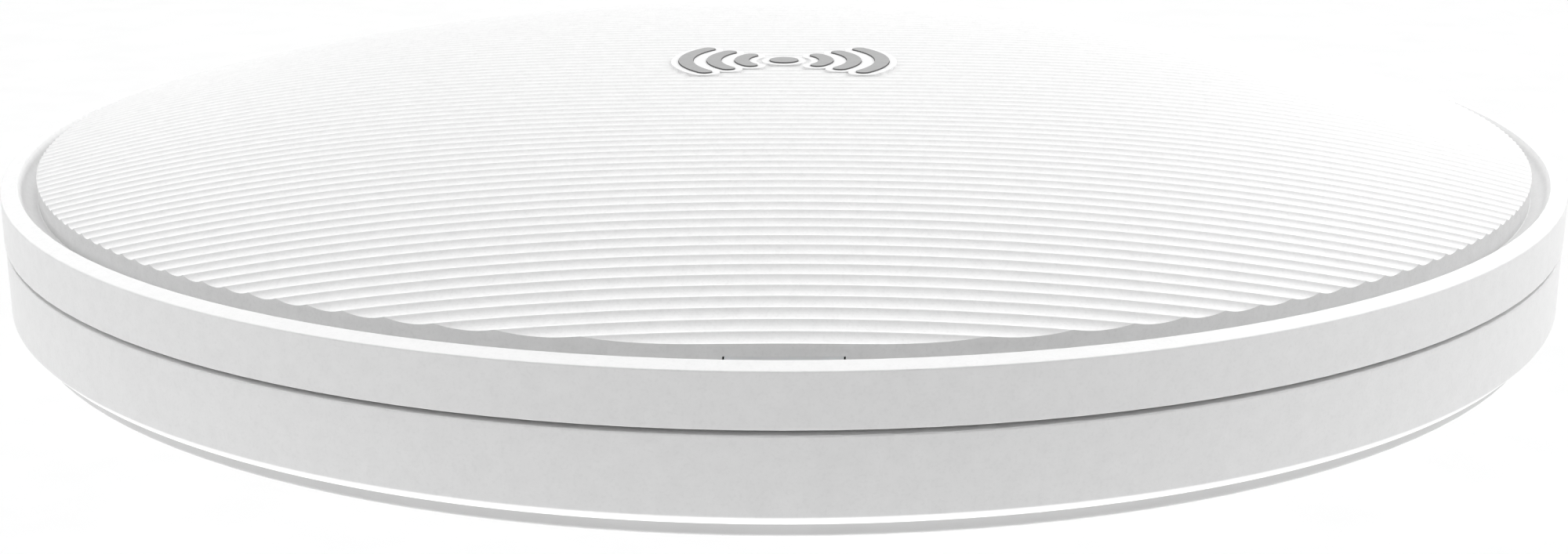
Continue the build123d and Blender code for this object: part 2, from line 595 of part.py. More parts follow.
def jack(name, centre_x):
    """Shielded eight-contact socket whose mouth faces into the recess, key slot towards the ceiling."""
    with BuildPart() as shell:
        block(
            (centre_x - JACK_WIDTH / 2, centre_x + JACK_WIDTH / 2),
            (JACK_FRONT_Y, JACK_FRONT_Y + JACK_DEPTH),
            (BOARD_BOTTOM_Z - JACK_HEIGHT, BOARD_BOTTOM_Z),
        )
        with BuildSketch(Plane.XZ.offset(-JACK_FRONT_Y)):
            with Locations((centre_x, CAVITY_BOTTOM_Z + 5.2)):
                Rectangle(11.8, 6.9)
            with Locations((centre_x, CAVITY_BOTTOM_Z + 1.4)):
                Rectangle(6.4, 1.4)
            with Locations((centre_x, CAVITY_BOTTOM_Z + 0.4)):
                Rectangle(3.6, 1.6)
        extrude(amount=-CAVITY_DEPTH, mode=Mode.SUBTRACT)
    save(shell, name)
    with BuildPart() as contacts:
        rear_y = JACK_FRONT_Y + CAVITY_DEPTH
        for index in range(8):
            wire_x = centre_x + (index - 3.5) * 1.02
            with BuildSketch(Plane.YZ.offset(wire_x)):
                with BuildLine():
                    Polyline(
                        (rear_y, CAVITY_BOTTOM_Z + 6.5),
                        (rear_y - 9.0, CAVITY_BOTTOM_Z + 8.0),
                        (rear_y - 9.0, CAVITY_BOTTOM_Z + 8.4),
                        (rear_y, CAVITY_BOTTOM_Z + 6.9),
                        close=True,
                    )
                make_face()
            extrude(amount=0.22, both=True)
    save(contacts, f"{name}_contacts")


jack("ethernet_jack", JACK_X)
jack("console_jack", CONSOLE_X)

# ---- Power socket: square body with a round barrel cavity ----
with BuildPart() as power_jack:
    block(
        (POWER_X - POWER_HALF_WIDTH, POWER_X + POWER_HALF_WIDTH),
        (JACK_FRONT_Y, JACK_FRONT_Y + POWER_DEPTH),
        (POWER_LOW_Z, BOARD_BOTTOM_Z),
    )
    with BuildSketch(Plane.XZ.offset(-JACK_FRONT_Y)):
        with Locations((POWER_X, POWER_AXIS_Z)):
            Circle(3.2)
    extrude(amount=-10.0, mode=Mode.SUBTRACT)
save(power_jack, "power_jack")

with BuildPart() as power_jack_pin:
    with BuildSketch(Plane.XZ.offset(-JACK_FRONT_Y - 1.0)):
        with Locations((POWER_X, POWER_AXIS_Z)):
            Circle(1.0)
    extrude(amount=-9.0)
    fillet(power_jack_pin.edges().group_by(Axis.Y)[0], 0.5)
save(power_jack_pin, "power_jack_pin")

# ---- Reset button, pressed through a hole beside the sockets, and its switch ----
with BuildPart() as reset_button:
    with BuildSketch(Plane.XZ.offset(-RECESS_HIGH_Y - 0.4)):
        with Locations((RESET_X, RESET_Z)):
            Circle(1.2)
    extrude(amount=-5.6)
    with BuildSketch(Plane.XZ.offset(-RECESS_HIGH_Y - RECESS_WALL - 0.4)):
        with Locations((RESET_X, RESET_Z)):
            Circle(2.2)
    extrude(amount=-1.0)
save(reset_button, "reset_button")

with BuildPart() as reset_switch:
    block((RESET_X - 3.0, RESET_X + 3.0), (9.4, 13.4), (RESET_Z - 3.0, BOARD_BOTTOM_Z))
    with BuildSketch(Plane.XZ.offset(-9.4)):
        with Locations((RESET_X, RESET_Z)):
            Circle(1.55)
    extrude(amount=-1.6, mode=Mode.SUBTRACT)
save(reset_switch, "reset_switch")


# ---- Antennas: stamped strips that stand on the board, each fed by a thin coaxial cable ----
ANTENNA_R = 61.0
CABLE_R = 0.57
CABLE_Z = BOARD_TOP_Z + 0.75


def antenna(name, angle, length):
    """Upright strip along the board's edge with a folded top and two feet."""
    with BuildPart() as strip:
        frame = Plane(
            origin=(ANTENNA_R * cos(radians(angle)), ANTENNA_R * sin(radians(angle)), BOARD_TOP_Z),
            x_dir=(-sin(radians(angle)), cos(radians(angle)), 0),
            z_dir=(0, 0, 1),
        )
        with Locations(frame):
            with Locations((0, 0, 4.2)):
                Box(length, 0.4, 4.4)
            with Locations((0, 2.3, 6.2)):
                Box(length, 5.0, 0.4)
            for foot_x in (-length / 2 + 1.2, 0):
                with Locations((foot_x, 0, 1.0)):
                    Box(2.4, 0.4, 2.0)
    save(strip, name)


antenna("antenna_low_band_left", 130, 30.0)
antenna("antenna_low_band_right", 50, 30.0)
antenna("antenna_high_band_left", 230, 18.0)
antenna("antenna_high_band_right", 310, 18.0)


def coax(name, route, radii):
    """Thin cable lying on the board along a route of straight runs and tangent arcs."""
    with BuildPart() as cable:
        with BuildLine() as path:
            FilletPolyline(*[(x, y, CABLE_Z) for x, y in route], radius=radii)
        with BuildSketch(Plane(origin=path.line @ 0, z_dir=path.line % 0)):
            Circle(CABLE_R)
        sweep(path=path.line)
    save(cable, name)


LOW_BAND_ROUTE = ((15.0, 38.0), (24.0, 36.0), (32.0, 37.5), (38.0, 42.5))
HIGH_BAND_ROUTE = ((15.0, -4.0), (22.0, -8.0), (33.0, -24.0), (38.5, -36.0), (38.0, -43.0))
for side, word in ((-1, "left"), (1, "right")):
    coax(f"low_band_coax_{word}", [(side * x, y) for x, y in LOW_BAND_ROUTE], [10.0, 8.0])
    coax(f"high_band_coax_{word}", [(side * x, y) for x, y in HIGH_BAND_ROUTE], [9.0, 18.0, 8.0])

with BuildPart() as coax_connectors:
    for side in (-1, 1):
        for x, y in (LOW_BAND_ROUTE[0], HIGH_BAND_ROUTE[0]):
            with Locations((side * (x - 1.6), y, BOARD_TOP_Z + 0.7)):
                Cylinder(1.4, 1.4)
save(coax_connectors, "coax_connectors")

# ---- Screws ----
with BuildPart() as board_screws:
    with BuildSketch(Plane.XY.offset(BOARD_TOP_Z)):
        with Locations(*on_circle(BOARD_SCREW_R, BOARD_SCREW_ANGLES)):
            Circle(SCREW_HEAD_R)
    extrude(amount=SCREW_HEAD_HEIGHT)
    with BuildSketch(Plane.XY.offset(BOARD_TOP_Z)):
        with Locations(*on_circle(BOARD_SCREW_R, BOARD_SCREW_ANGLES)):
            Circle(SCREW_SHANK_R)
    extrude(amount=-7.0)
    fillet(board_screws.edges().group_by(Axis.Z)[-1], 0.7)
    with BuildSketch(Plane.XY.offset(BOARD_TOP_Z + SCREW_HEAD_HEIGHT)):
        with Locations(*on_circle(BOARD_SCREW_R, BOARD_SCREW_ANGLES)):
            Rectangle(3.0, 0.7)
            Rectangle(0.7, 3.0)
    extrude(amount=-1.1, mode=Mode.SUBTRACT)
save(board_screws, "board_screws")

with BuildPart() as housing_screws:
    head_z = BAND_BOTTOM_Z + HOUSING_SCREW_SINK
    with Locations(*[(x, y, head_z) for x, y in on_circle(HOUSING_SCREW_R, HOUSING_SCREW_ANGLES)]):
        Cone(SCREW_HEAD_R, SCREW_SHANK_R, SCREW_HEAD_R - SCREW_SHANK_R, align=ON_BASE)
        Cylinder(SCREW_SHANK_R, HOUSING_SCREW_TIP_Z - head_z, align=ON_BASE)
    with BuildSketch(Plane.XY.offset(head_z)):
        with Locations(*on_circle(HOUSING_SCREW_R, HOUSING_SCREW_ANGLES)):
            Rectangle(2.6, 0.6)
            Rectangle(0.6, 2.6)
    extrude(amount=0.8, mode=Mode.SUBTRACT)
save(housing_screws, "housing_screws")
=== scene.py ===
import json
import math

import bmesh
import bpy
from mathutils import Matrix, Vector


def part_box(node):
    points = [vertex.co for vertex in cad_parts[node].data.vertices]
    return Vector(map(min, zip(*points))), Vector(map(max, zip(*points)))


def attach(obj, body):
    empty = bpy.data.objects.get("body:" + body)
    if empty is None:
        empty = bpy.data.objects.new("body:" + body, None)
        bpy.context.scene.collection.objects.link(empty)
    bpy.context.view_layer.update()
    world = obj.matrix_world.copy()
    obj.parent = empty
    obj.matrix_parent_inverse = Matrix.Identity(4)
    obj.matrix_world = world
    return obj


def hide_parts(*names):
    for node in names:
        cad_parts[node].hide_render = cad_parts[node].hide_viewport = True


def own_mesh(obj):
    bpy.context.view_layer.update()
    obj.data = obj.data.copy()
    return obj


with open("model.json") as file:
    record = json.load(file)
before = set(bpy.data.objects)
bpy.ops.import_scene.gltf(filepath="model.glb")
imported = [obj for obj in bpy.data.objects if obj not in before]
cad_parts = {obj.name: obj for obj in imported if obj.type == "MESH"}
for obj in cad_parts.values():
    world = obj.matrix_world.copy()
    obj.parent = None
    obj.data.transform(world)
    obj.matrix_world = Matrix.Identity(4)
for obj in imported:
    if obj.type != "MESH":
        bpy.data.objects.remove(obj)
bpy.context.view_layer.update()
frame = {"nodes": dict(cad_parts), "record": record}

MM = 0.001
NODES = frame["nodes"]

# ---- Places and sizes, in millimetres; the boxes are read from the frame ----
def node_box(name):
    """Lowest and highest corner of a CAD node, in millimetres."""
    low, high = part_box(name)
    return low / MM, high / MM


BEZEL_HIGH = node_box("front_bezel")[1]
DOME_HIGH = node_box("dome_cover")[1]
EMBLEM_LOW = node_box("emblem_inlays")[0]
GUIDE_HIGH = node_box("light_guide")[1]
HOUSING_LOW, HOUSING_HIGH = node_box("lower_housing")

# Dome
RIM_Z = BEZEL_HIGH.z
DOME_R = round(DOME_HIGH.x, 1)
DOME_FOOT_Z = RIM_Z - 3.26
CROWN = 9.44                          # top of the dome above the rim
DOME_FALL = (2.39, 9.01, -2.87)       # terms of (radius / DOME_FALL_R)**2, **4 and **6
DOME_FALL_R = 86.0
DOME_WALL = 2.0
SKIRT_INNER_R = 84.1

# Ridges across the dome
RIDGE_PITCH = 1.895
RIDGE_DEPTH = 0.31
RIDGE_VALLEY = 0.42       # share of the pitch from each crest to the valley behind it
FRONT_POWER = 2.4         # hollowness of the flank that faces the front, and of the other one
BACK_POWER = 1.8
CREST_ROUNDING = 0.04     # share of the depth taken off each crest
CREST_WIDTH = 0.045       # share of a flank that the rounding takes
# Share of the pitch at which each row of points lies
ROW_SHARES = (0.0, 0.03, 0.10, 0.20, 0.32, 0.44, 0.56, 0.68, 0.79, 0.88, 0.94, 0.975)
END_ARC, END_ROWS = math.radians(26.0), 64   # more rows where the dome's edge runs along the ridges
CLOSEST_ROWS = 0.012                         # smallest step between two rows
COLUMNS = 52
COLUMN_SPREAD = math.radians(74.0)           # sets columns closer together towards the edge

# Snap hooks inside the dome's side wall
HOOK_INNER_R, HOOK_ARM_R, HOOK_GRIP_R = 80.8, 82.3, 83.8
HOOK_LOW_Z, HOOK_GRIP_Z, HOOK_HIGH_Z = 19.4, 20.7, 26.2
HOOK_HALF_ANGLE = 3.0
HOOK_ANGLES = range(0, 360, 60)

# Bead round the dome's foot, which closes the gap beside the channel
BEAD = 0.13
BEAD_TOP_Z = RIM_Z - 1.83
BEAD_HEIGHT = 0.6
BEAD_ROOT = 0.8           # how far the bead reaches into the dome's side wall
BEAD_GAP = 3.46           # half of the break left in it for the light guide, in degrees

# Emblem: a dot between stacks of arcs, inlaid in flat pads
EMBLEM_Y = -3.2
EMBLEM_STROKE = 1.7
EMBLEM_ARC_RADII = (5.0, 8.3, 11.6)
EMBLEM_HALF_ARC = 38.0
EMBLEM_GAP = 0.05         # beside each inlay
EMBLEM_FOOT_GAP = 0.1     # and under it
PAD_MARGIN = 0.9          # flat pad left round each shape of the emblem
PAD_RISE = 0.02           # pad above the crown
PAD_THICKNESS = 1.2

WINDOW_GAP = 0.16         # beside the light guide
WINDOW_TOP_GAP = 0.01
WINDOW_OUTSIDE, WINDOW_DEPTH = 2.0, 3.0   # from the dome's edge outwards and inwards
CUT_MARGIN = 1.0          # how far a cutting solid goes past the surface

# Lower housing
HOUSING_R = HOUSING_HIGH.x
HOUSING_BOTTOM_Z = HOUSING_LOW.z
HOUSING_TOP_Z = RIM_Z - 6.10
SEAM_TOP_Z = RIM_Z - 5.63
# Points of the bevel from the underside to the wall, as (distance in from the wall, height)
LOWER_BEVEL = ((1.06, 0.0), (0.97, 0.012), (0.86, 0.06), (0.06, 0.86), (0.012, 0.97), (-0.005, 1.06))
SKIN_OFFSET = 0.006       # turned wall outside the CAD wall
SKIN_DEPTH = 0.45         # turned wall reaches this far into it
SKIN_LOW_GAP = 0.5        # turned wall starts inside the bevel
SKIN_TOP_GAP = 0.16       # and stops below the rounded upper edge
BEVEL_MARGIN = 0.5        # how far the bevel's cutter goes past the wall and the underside

# The housing's tone over its height, with painted light: a painted highlight on the lower bevel, plain
# walls, painted shade in the seam groove, and the rim's top painted a little darker
EDGE_PAINTED_HIGHLIGHT, WALL_TONE, SEAM_PAINTED_SHADE, RIM_PAINTED_SHADE = 1.0, 0.828, 0.80, 0.805
EDGE_TOP_Z, WALL_LOW_Z = HOUSING_BOTTOM_Z + 0.97, HOUSING_BOTTOM_Z + 1.07
WALL_HIGH_Z, RIM_LOW_Z = RIM_Z - 0.60, RIM_Z - 0.40
SEAM_FADE = 0.02
HOUSING_TONE_AND_PAINTED_LIGHT = (
    (HOUSING_BOTTOM_Z, EDGE_PAINTED_HIGHLIGHT), (EDGE_TOP_Z, EDGE_PAINTED_HIGHLIGHT), (WALL_LOW_Z, WALL_TONE),
    (HOUSING_TOP_Z - SEAM_FADE, WALL_TONE), (HOUSING_TOP_Z, SEAM_PAINTED_SHADE),
    (SEAM_TOP_Z, SEAM_PAINTED_SHADE), (SEAM_TOP_Z + SEAM_FADE, WALL_TONE),
    (WALL_HIGH_Z, WALL_TONE), (RIM_LOW_Z, RIM_PAINTED_SHADE), (RIM_Z, RIM_PAINTED_SHADE),
)

SHARP_ANGLE = math.radians(32)     # edges that turn more than this are shaded sharp

# Stage
FLOOR_DROP = 900.0          # below the frame's origin
FLOOR_HALF = 20000.0
TENT_BRIGHT_SIDE = (0.5, 1.0, 0.21)
TENT_FADE = (-0.74, -0.2, 0.24, 0.54)   # towards the dim and the bright side, then their strengths

CAMERA_SETBACK = 269.5      # in front of the housing's axis
CAMERA_RISE = 59.34         # above the rim
CAMERA_TILT = 16.03         # degrees below the horizon
FIELD_OF_VIEW = 37.96       # degrees across


# ---- Small helpers ----
def make_object(name, vertices, faces, smooth=True):
    """Mesh object from points in millimetres."""
    mesh = bpy.data.meshes.new(name)
    mesh.from_pydata([(x * MM, y * MM, z * MM) for x, y, z in vertices], [], faces)
    mesh.update()
    if smooth:
        mesh.shade_smooth()
    piece = bpy.data.objects.new(name, mesh)
    bpy.context.scene.collection.objects.link(piece)
    return piece


def on_circle(radius, angle, centre_y=0.0):
    """Point on a circle about (0, centre_y), from an angle in degrees."""
    a = math.radians(angle)
    return (radius * math.cos(a), centre_y + radius * math.sin(a))


def arc_slot(radius, width, middle, half_arc, steps=32, cap_steps=14):
    """Outline of a round-ended bar bent about the emblem's centre."""
    start, end = middle - half_arc, middle + half_arc
    turns = [(end - start) * i / steps for i in range(steps + 1)]
    outline = [on_circle(radius + width / 2, start + turn, EMBLEM_Y) for turn in turns]
    for tip, direction in ((end, 1), (start, -1)):
        cx, cy = on_circle(radius, tip, EMBLEM_Y)
        first = tip if direction > 0 else tip + 180
        for i in range(1, cap_steps):
            dx, dy = on_circle(width / 2, first + 180.0 * i / cap_steps)
            outline.append((cx + dx, cy + dy))
        if direction > 0:
            outline += [on_circle(radius - width / 2, end - turn, EMBLEM_Y) for turn in turns]
    return outline


def prism(name, outline, z_low, z_high):
    """Closed solid between two levels over an outline that turns anticlockwise."""
    count = len(outline)
    vertices = [(x, y, z_low) for x, y in outline] + [(x, y, z_high) for x, y in outline]
    faces = [[i, (i + 1) % count, count + (i + 1) % count, count + i] for i in range(count)]
    faces += [list(range(count - 1, -1, -1)), list(range(count, 2 * count))]
    return make_object(name, vertices, faces)


def lathe(name, profile, steps=180):
    """Closed solid of revolution about Z; the profile's first and last points lie on the axis."""
    ring_points = profile[1:-1]
    vertices = [(0.0, 0.0, profile[0][1]), (0.0, 0.0, profile[-1][1])]
    for r, z in ring_points:
        vertices += [(*on_circle(r, 360.0 * i / steps), z) for i in range(steps)]
    faces = []
    for i in range(steps):
        j = (i + 1) % steps
        rings = [2 + k * steps for k in range(len(ring_points))]
        faces.append([0, rings[0] + i, rings[0] + j])
        for a, b in zip(rings, rings[1:]):
            faces.append([a + i, b + i, b + j, a + j])
        faces.append([rings[-1] + i, 1, rings[-1] + j])
    return make_object(name, vertices, faces)


def ring_piece(name, profile, start, end, steps):
    """Closed solid swept about Z from the angle start to end by a profile of (radius, height)."""
    count = len(profile)
    whole = end - start >= 360.0
    rings = steps if whole else steps + 1
    vertices = []
    for i in range(rings):
        angle = start + (end - start) * i / steps
        vertices += [(*on_circle(r, angle), z) for r, z in profile]
    faces = [] if whole else [list(range(count)), [steps * count + k for k in reversed(range(count))]]
    for i in range(steps):
        low, high = i * count, (i + 1) % rings * count
        for k in range(count):
            j = (k + 1) % count
            faces.append([low + j, low + k, high + k, high + j])
    return make_object(name, vertices, faces)


def combine(piece, other, operation):
    """Joins or cuts a closed piece with another closed solid, which is then removed."""
    modifier = piece.modifiers.new(operation, "BOOLEAN")
    modifier.solver = "MANIFOLD"
    modifier.operation = operation
    modifier.object = other
    graph = bpy.context.evaluated_depsgraph_get()
    made = bpy.data.meshes.new_from_object(piece.evaluated_get(graph))
    piece.modifiers.clear()
    old = piece.data
    piece.data = made
    bpy.data.meshes.remove(old)
    bpy.data.objects.remove(other)


# ---- Node materials ----
class Nodes:
    """Short way to build one material's node tree."""

    def __init__(self, name):
        self.material = bpy.data.materials.new(name)
        self.material.use_nodes = True
        self.tree = self.material.node_tree
        self.shader = self.tree.nodes["Principled BSDF"]
        self.position = self.tree.nodes.new("ShaderNodeTexCoord").outputs["Object"]

    def add(self, kind, inputs=None, **settings):
        """New node with its inputs set or linked."""
        node = self.tree.nodes.new(kind)
        for key, value in settings.items():
            setattr(node, key, value)
        for key, value in (inputs or {}).items():
            if isinstance(value, bpy.types.NodeSocket):
                self.tree.links.new(value, node.inputs[key])
            else:
                node.inputs[key].default_value = value
        return node

    def noise(self, size_mm, detail=2.0, stretch=(1, 1, 1)):
        """Noise whose features are about size_mm across, stretched along the axes."""
        scaled = self.add(
            "ShaderNodeMapping", {"Vector": self.position, "Scale": stretch}
        ).outputs[0]
        return self.add(
            "ShaderNodeTexNoise",
            {"Vector": scaled, "Scale": 1 / (size_mm * MM), "Detail": detail},
        ).outputs["Fac"]

    def painted_shade_by_slope(self, z_range, factors):
        """Painted shade: factor that changes as the surface's normal goes across z_range, from down (-1)
        to up (1).
        """
        normal = self.tree.nodes["Texture Coordinate"].outputs["Normal"]
        split = self.add("ShaderNodeSeparateXYZ", {0: normal}).outputs["Z"]
        ends = {"From Min": z_range[0], "From Max": z_range[1], "To Min": factors[0], "To Max": factors[1]}
        return self.add("ShaderNodeMapRange", {"Value": split, **ends}).outputs[0]

    def painted_light_by_height(self, steps):
        """Factor for painted light and shade that changes with the height; steps are (height in mm,
        factor) from low to high.
        """
        low, high = steps[0][0], steps[-1][0]
        height = self.add("ShaderNodeSeparateXYZ", {0: self.position}).outputs["Z"]
        ends = {"From Min": low * MM, "From Max": high * MM}
        share = self.add("ShaderNodeMapRange", {"Value": height, **ends})
        node = self.add("ShaderNodeValToRGB", {"Fac": share.outputs[0]})
        stops = node.color_ramp.elements
        stops[0].color, stops[-1].color = self.rgba(steps[0][1]), self.rgba(steps[-1][1])
        for z, factor in steps[1:-1]:
            stops.new((z - low) / (high - low)).color = self.rgba(factor)
        return node.outputs["Color"]

    def ramp(self, value, low, high, at=(0.3, 0.7)):
        """Colour or grey between low and high as value goes across the at range."""
        node = self.add("ShaderNodeValToRGB", {"Fac": value})
        node.color_ramp.elements[0].position = at[0]
        node.color_ramp.elements[1].position = at[1]
        node.color_ramp.elements[0].color = self.rgba(low)
        node.color_ramp.elements[1].color = self.rgba(high)
        return node.outputs["Color"]

    @staticmethod
    def rgba(value):
        """Opaque colour from a grey or from three channels."""
        if isinstance(value, (int, float)):
            return (value, value, value, 1.0)
        return (*value, 1.0)

    def multiply(self, first, second):
        """One colour times another."""
        inputs = {6: first, 7: second, 0: 1.0}
        return self.add("ShaderNodeMix", inputs, data_type="RGBA", blend_type="MULTIPLY").outputs[2]

    def bump(self, height, depth_mm, normal=None):
        """Normal bent by a height pattern depth_mm deep."""
        inputs = {"Height": height, "Distance": depth_mm * MM, "Strength": 1.0}
        if normal is not None:
            inputs["Normal"] = normal
        return self.add("ShaderNodeBump", inputs).outputs[0]

    def set(self, **inputs):
        """Sets or links the shader's sockets, by name with underscores."""
        for key, value in inputs.items():
            socket = self.shader.inputs[key.replace("_", " ")]
            if isinstance(value, bpy.types.NodeSocket):
                self.tree.links.new(value, socket)
            else:
                socket.default_value = value
        return self.material


def shade(color, factor):
    """The colour made lighter or darker, at most white."""
    return tuple(min(1.0, c * factor) for c in color)


def textured_plastic(name, color, roughness, painted_shade_by_slope=None, painted_light_heights=None, mottle=0.035):
    """Moulded plastic with a spark-eroded grain and a faint mottle, with painted light and shade by its
    slope or its height.
    """
    n = Nodes(name)
    grain_mm, grain_depth_mm = 0.32, 0.006
    cloud = n.noise(1.4, detail=3.0)
    grain = n.noise(grain_mm, detail=2.5)
    fine = n.noise(grain_mm * 0.4, detail=1.0)
    tone = n.ramp(cloud, shade(color, 1 - mottle), color)
    speck = n.ramp(grain, 1 - mottle, 1.0, at=(0.28, 0.5))
    mixed = n.multiply(tone, speck)
    # painted light and shade: the colour is multiplied by a factor from the surface's slope or its height
    with_painted_light = n.multiply(mixed, n.painted_shade_by_slope(*painted_shade_by_slope) if painted_shade_by_slope else n.painted_light_by_height(painted_light_heights))
    first = n.bump(grain, grain_depth_mm)
    second = n.bump(fine, grain_depth_mm * 0.4, normal=first)
    rough = n.ramp(fine, roughness - 0.06, roughness + 0.06)
    return n.set(Base_Color=with_painted_light, Roughness=rough, Normal=second)


def powder_coat(name, color):
    """Painted cast metal with a soft orange peel."""
    n = Nodes(name)
    peel = n.noise(0.9, detail=1.5)
    cloud = n.noise(6.0, detail=3.0)
    tone = n.ramp(cloud, shade(color, 0.96), color)
    rough = n.ramp(peel, 0.42, 0.56)
    return n.set(Base_Color=tone, Roughness=rough, Normal=n.bump(peel, 0.03))


def plated_metal(name, color, roughness, brush=(1, 12, 1)):
    """Plated sheet metal with fine drawn lines and a slight cloud."""
    n = Nodes(name)
    lines = n.noise(0.5, detail=2.0, stretch=brush)
    cloud = n.noise(7.0, detail=4.0)
    tone = n.ramp(cloud, shade(color, 0.86), color)
    rough = n.ramp(lines, roughness - 0.08, roughness + 0.1)
    return n.set(Base_Color=tone, Metallic=1.0, Roughness=rough, Normal=n.bump(lines, 0.008))


def moulded_black(name, color, roughness=0.45):
    """Dark plastic, resin or ferrite with a fine grain."""
    n = Nodes(name)
    grain = n.noise(0.25, detail=2.0)
    cloud = n.noise(3.0, detail=2.0)
    tone = n.ramp(cloud, color, shade(color, 1.35))
    rough = n.ramp(grain, roughness - 0.08, roughness + 0.1)
    return n.set(Base_Color=tone, Roughness=rough, Normal=n.bump(grain, 0.01))


def circuit_board(name):
    """Green solder mask over faint copper tracks, with a woven core under it."""
    n = Nodes(name)
    tracks = n.add(
        "ShaderNodeTexVoronoi",
        {"Vector": n.position, "Scale": 260.0},
        distance="CHEBYCHEV",
        feature="F2",
    ).outputs["Distance"]
    copper = n.ramp(tracks, (0.01, 0.10, 0.05), (0.02, 0.20, 0.09), at=(0.45, 0.55))
    weave = n.noise(0.4, detail=1.0, stretch=(1, 4, 1))
    rough = n.ramp(weave, 0.28, 0.42)
    return n.set(Base_Color=copper, Roughness=rough, Normal=n.bump(tracks, 0.02))


def milky_guide(name):
    """Milky light guide: clear resin with a little scatter."""
    n = Nodes(name)
    cloud = n.noise(2.0, detail=2.0)
    tone = n.ramp(cloud, (0.66, 0.66, 0.665), (0.70, 0.70, 0.705))
    grain = n.noise(0.3, detail=1.0)
    return n.set(
        Base_Color=tone, Roughness=n.ramp(grain, 0.4, 0.5), Normal=n.bump(grain, 0.003),
        Subsurface_Weight=0.1, Subsurface_Scale=0.002,
    )


def soft_pad(name, color):
    """Soft silicone pad with a dull, uneven surface."""
    n = Nodes(name)
    grain = n.noise(0.5, detail=3.0)
    return n.set(
        Base_Color=n.ramp(grain, shade(color, 0.9), shade(color, 1.08)),
        Roughness=n.ramp(grain, 0.75, 0.9), Normal=n.bump(grain, 0.03),
    )


def foil_label(name, color):
    """Blank foil label with faint wrinkles."""
    n = Nodes(name)
    cloud = n.noise(5.0, detail=3.0)
    wrinkle = n.noise(1.5, detail=1.0, stretch=(1, 3, 1))
    return n.set(
        Base_Color=n.ramp(cloud, shade(color, 0.95), color), Metallic=0.15,
        Roughness=n.ramp(wrinkle, 0.32, 0.42), Normal=n.bump(wrinkle, 0.006),
    )


DOME_SLOPE_PAINTED_SHADE = ((0.70, 0.97), (0.89, 1.0))      # painted shade: steep flanks are a little darker
EMBLEM_SIDE_PAINTED_SHADE = ((0.3, 0.8), (0.35, 1.0))      # painted shade: the side walls of the inlays are dark
SLOT_MATERIALS = {
    "housing_plastic": lambda m: textured_plastic(m, (0.96, 0.96, 0.96), 0.55, painted_light_heights=HOUSING_TONE_AND_PAINTED_LIGHT),
    "dome_plastic": lambda m: textured_plastic(m, (0.785, 0.785, 0.785), 0.5, DOME_SLOPE_PAINTED_SHADE, mottle=0.05),
    "cast_base": lambda m: powder_coat(m, (0.62, 0.62, 0.62)),
    "bracket_steel": lambda m: plated_metal(m, (0.62, 0.63, 0.64), 0.36),
    "spring_steel": lambda m: plated_metal(m, (0.42, 0.44, 0.48), 0.25),
    "dark_plastic": lambda m: moulded_black(m, (0.03, 0.03, 0.032)),
    "emblem_grey": lambda m: textured_plastic(m, (0.33, 0.33, 0.33), 0.7, EMBLEM_SIDE_PAINTED_SHADE, mottle=0.05),
    "light_guide_plastic": milky_guide,
    "circuit_board": circuit_board,
    "chip_package": lambda m: moulded_black(m, (0.025, 0.025, 0.027), 0.5),
    "thermal_pad": lambda m: soft_pad(m, (0.36, 0.42, 0.50)),
    "tinplate": lambda m: plated_metal(m, (0.72, 0.72, 0.70), 0.22),
    "ferrite": lambda m: moulded_black(m, (0.05, 0.05, 0.052), 0.7),
    "capacitor_can": lambda m: plated_metal(m, (0.75, 0.75, 0.76), 0.28, brush=(8, 8, 1)),
    "led_package": milky_guide,
    "jack_shell": lambda m: plated_metal(m, (0.66, 0.65, 0.63), 0.28),
    "gold_contact": lambda m: plated_metal(m, (0.83, 0.62, 0.25), 0.2),
    "coax_jacket": lambda m: moulded_black(m, (0.02, 0.02, 0.02), 0.55),
    "label_foil": lambda m: foil_label(m, (0.44, 0.45, 0.47)),
    "screw_steel": lambda m: plated_metal(m, (0.58, 0.58, 0.58), 0.25, brush=(6, 6, 1)),
}
MATERIALS = {slot: make(slot) for slot, make in SLOT_MATERIALS.items()}


def finish_cad_nodes():
    """Gives every CAD node the material of its slot."""
    for entry in frame["record"]["subparts"]:
        node = NODES[entry["node"]]
        node.data.materials.clear()
        node.data.materials.append(MATERIALS[entry["material_slot"]])


finish_cad_nodes()


# ---- Dome cover: a ridged shell with pads round the emblem and a window for the light guide ----
def dome_height(radius):
    """Height of the crests' envelope over its plan radius, in millimetres."""
    u = (radius / DOME_FALL_R) ** 2
    first, second, third = DOME_FALL
    return RIM_Z + CROWN - first * u - second * u**2 - third * u**3


def ridge_drop(y):
    """How far the ridged surface lies under the crests' envelope at this y."""
    phase = (y / RIDGE_PITCH - 0.5) % 1.0
    front = phase > RIDGE_VALLEY
    from_valley = abs(phase - RIDGE_VALLEY) / (1.0 - RIDGE_VALLEY if front else RIDGE_VALLEY)
    rounding = CREST_ROUNDING * math.exp(-((1.0 - from_valley) / CREST_WIDTH) ** 2)
    return RIDGE_DEPTH * (1.0 - from_valley ** (FRONT_POWER if front else BACK_POWER) + rounding)


def ridge_rows():
    """The y of every row: a few for each ridge, and more where the dome's edge runs along the ridges."""
    count = int(DOME_R / RIDGE_PITCH) + 2
    rows = [(k + 0.5 + share) * RIDGE_PITCH for k in range(-count, count) for share in ROW_SHARES]
    ends = [DOME_R * math.cos(END_ARC * i / END_ROWS) for i in range(END_ROWS + 1)]
    rows += ends + [-y for y in ends]
    rows = sorted(y for y in rows if abs(y) <= DOME_R + 1e-9)
    kept = [rows[0]]
    for y in rows[1:]:
        if y - kept[-1] > CLOSEST_ROWS:
            kept.append(y)
    kept[-1] = DOME_R
    return kept


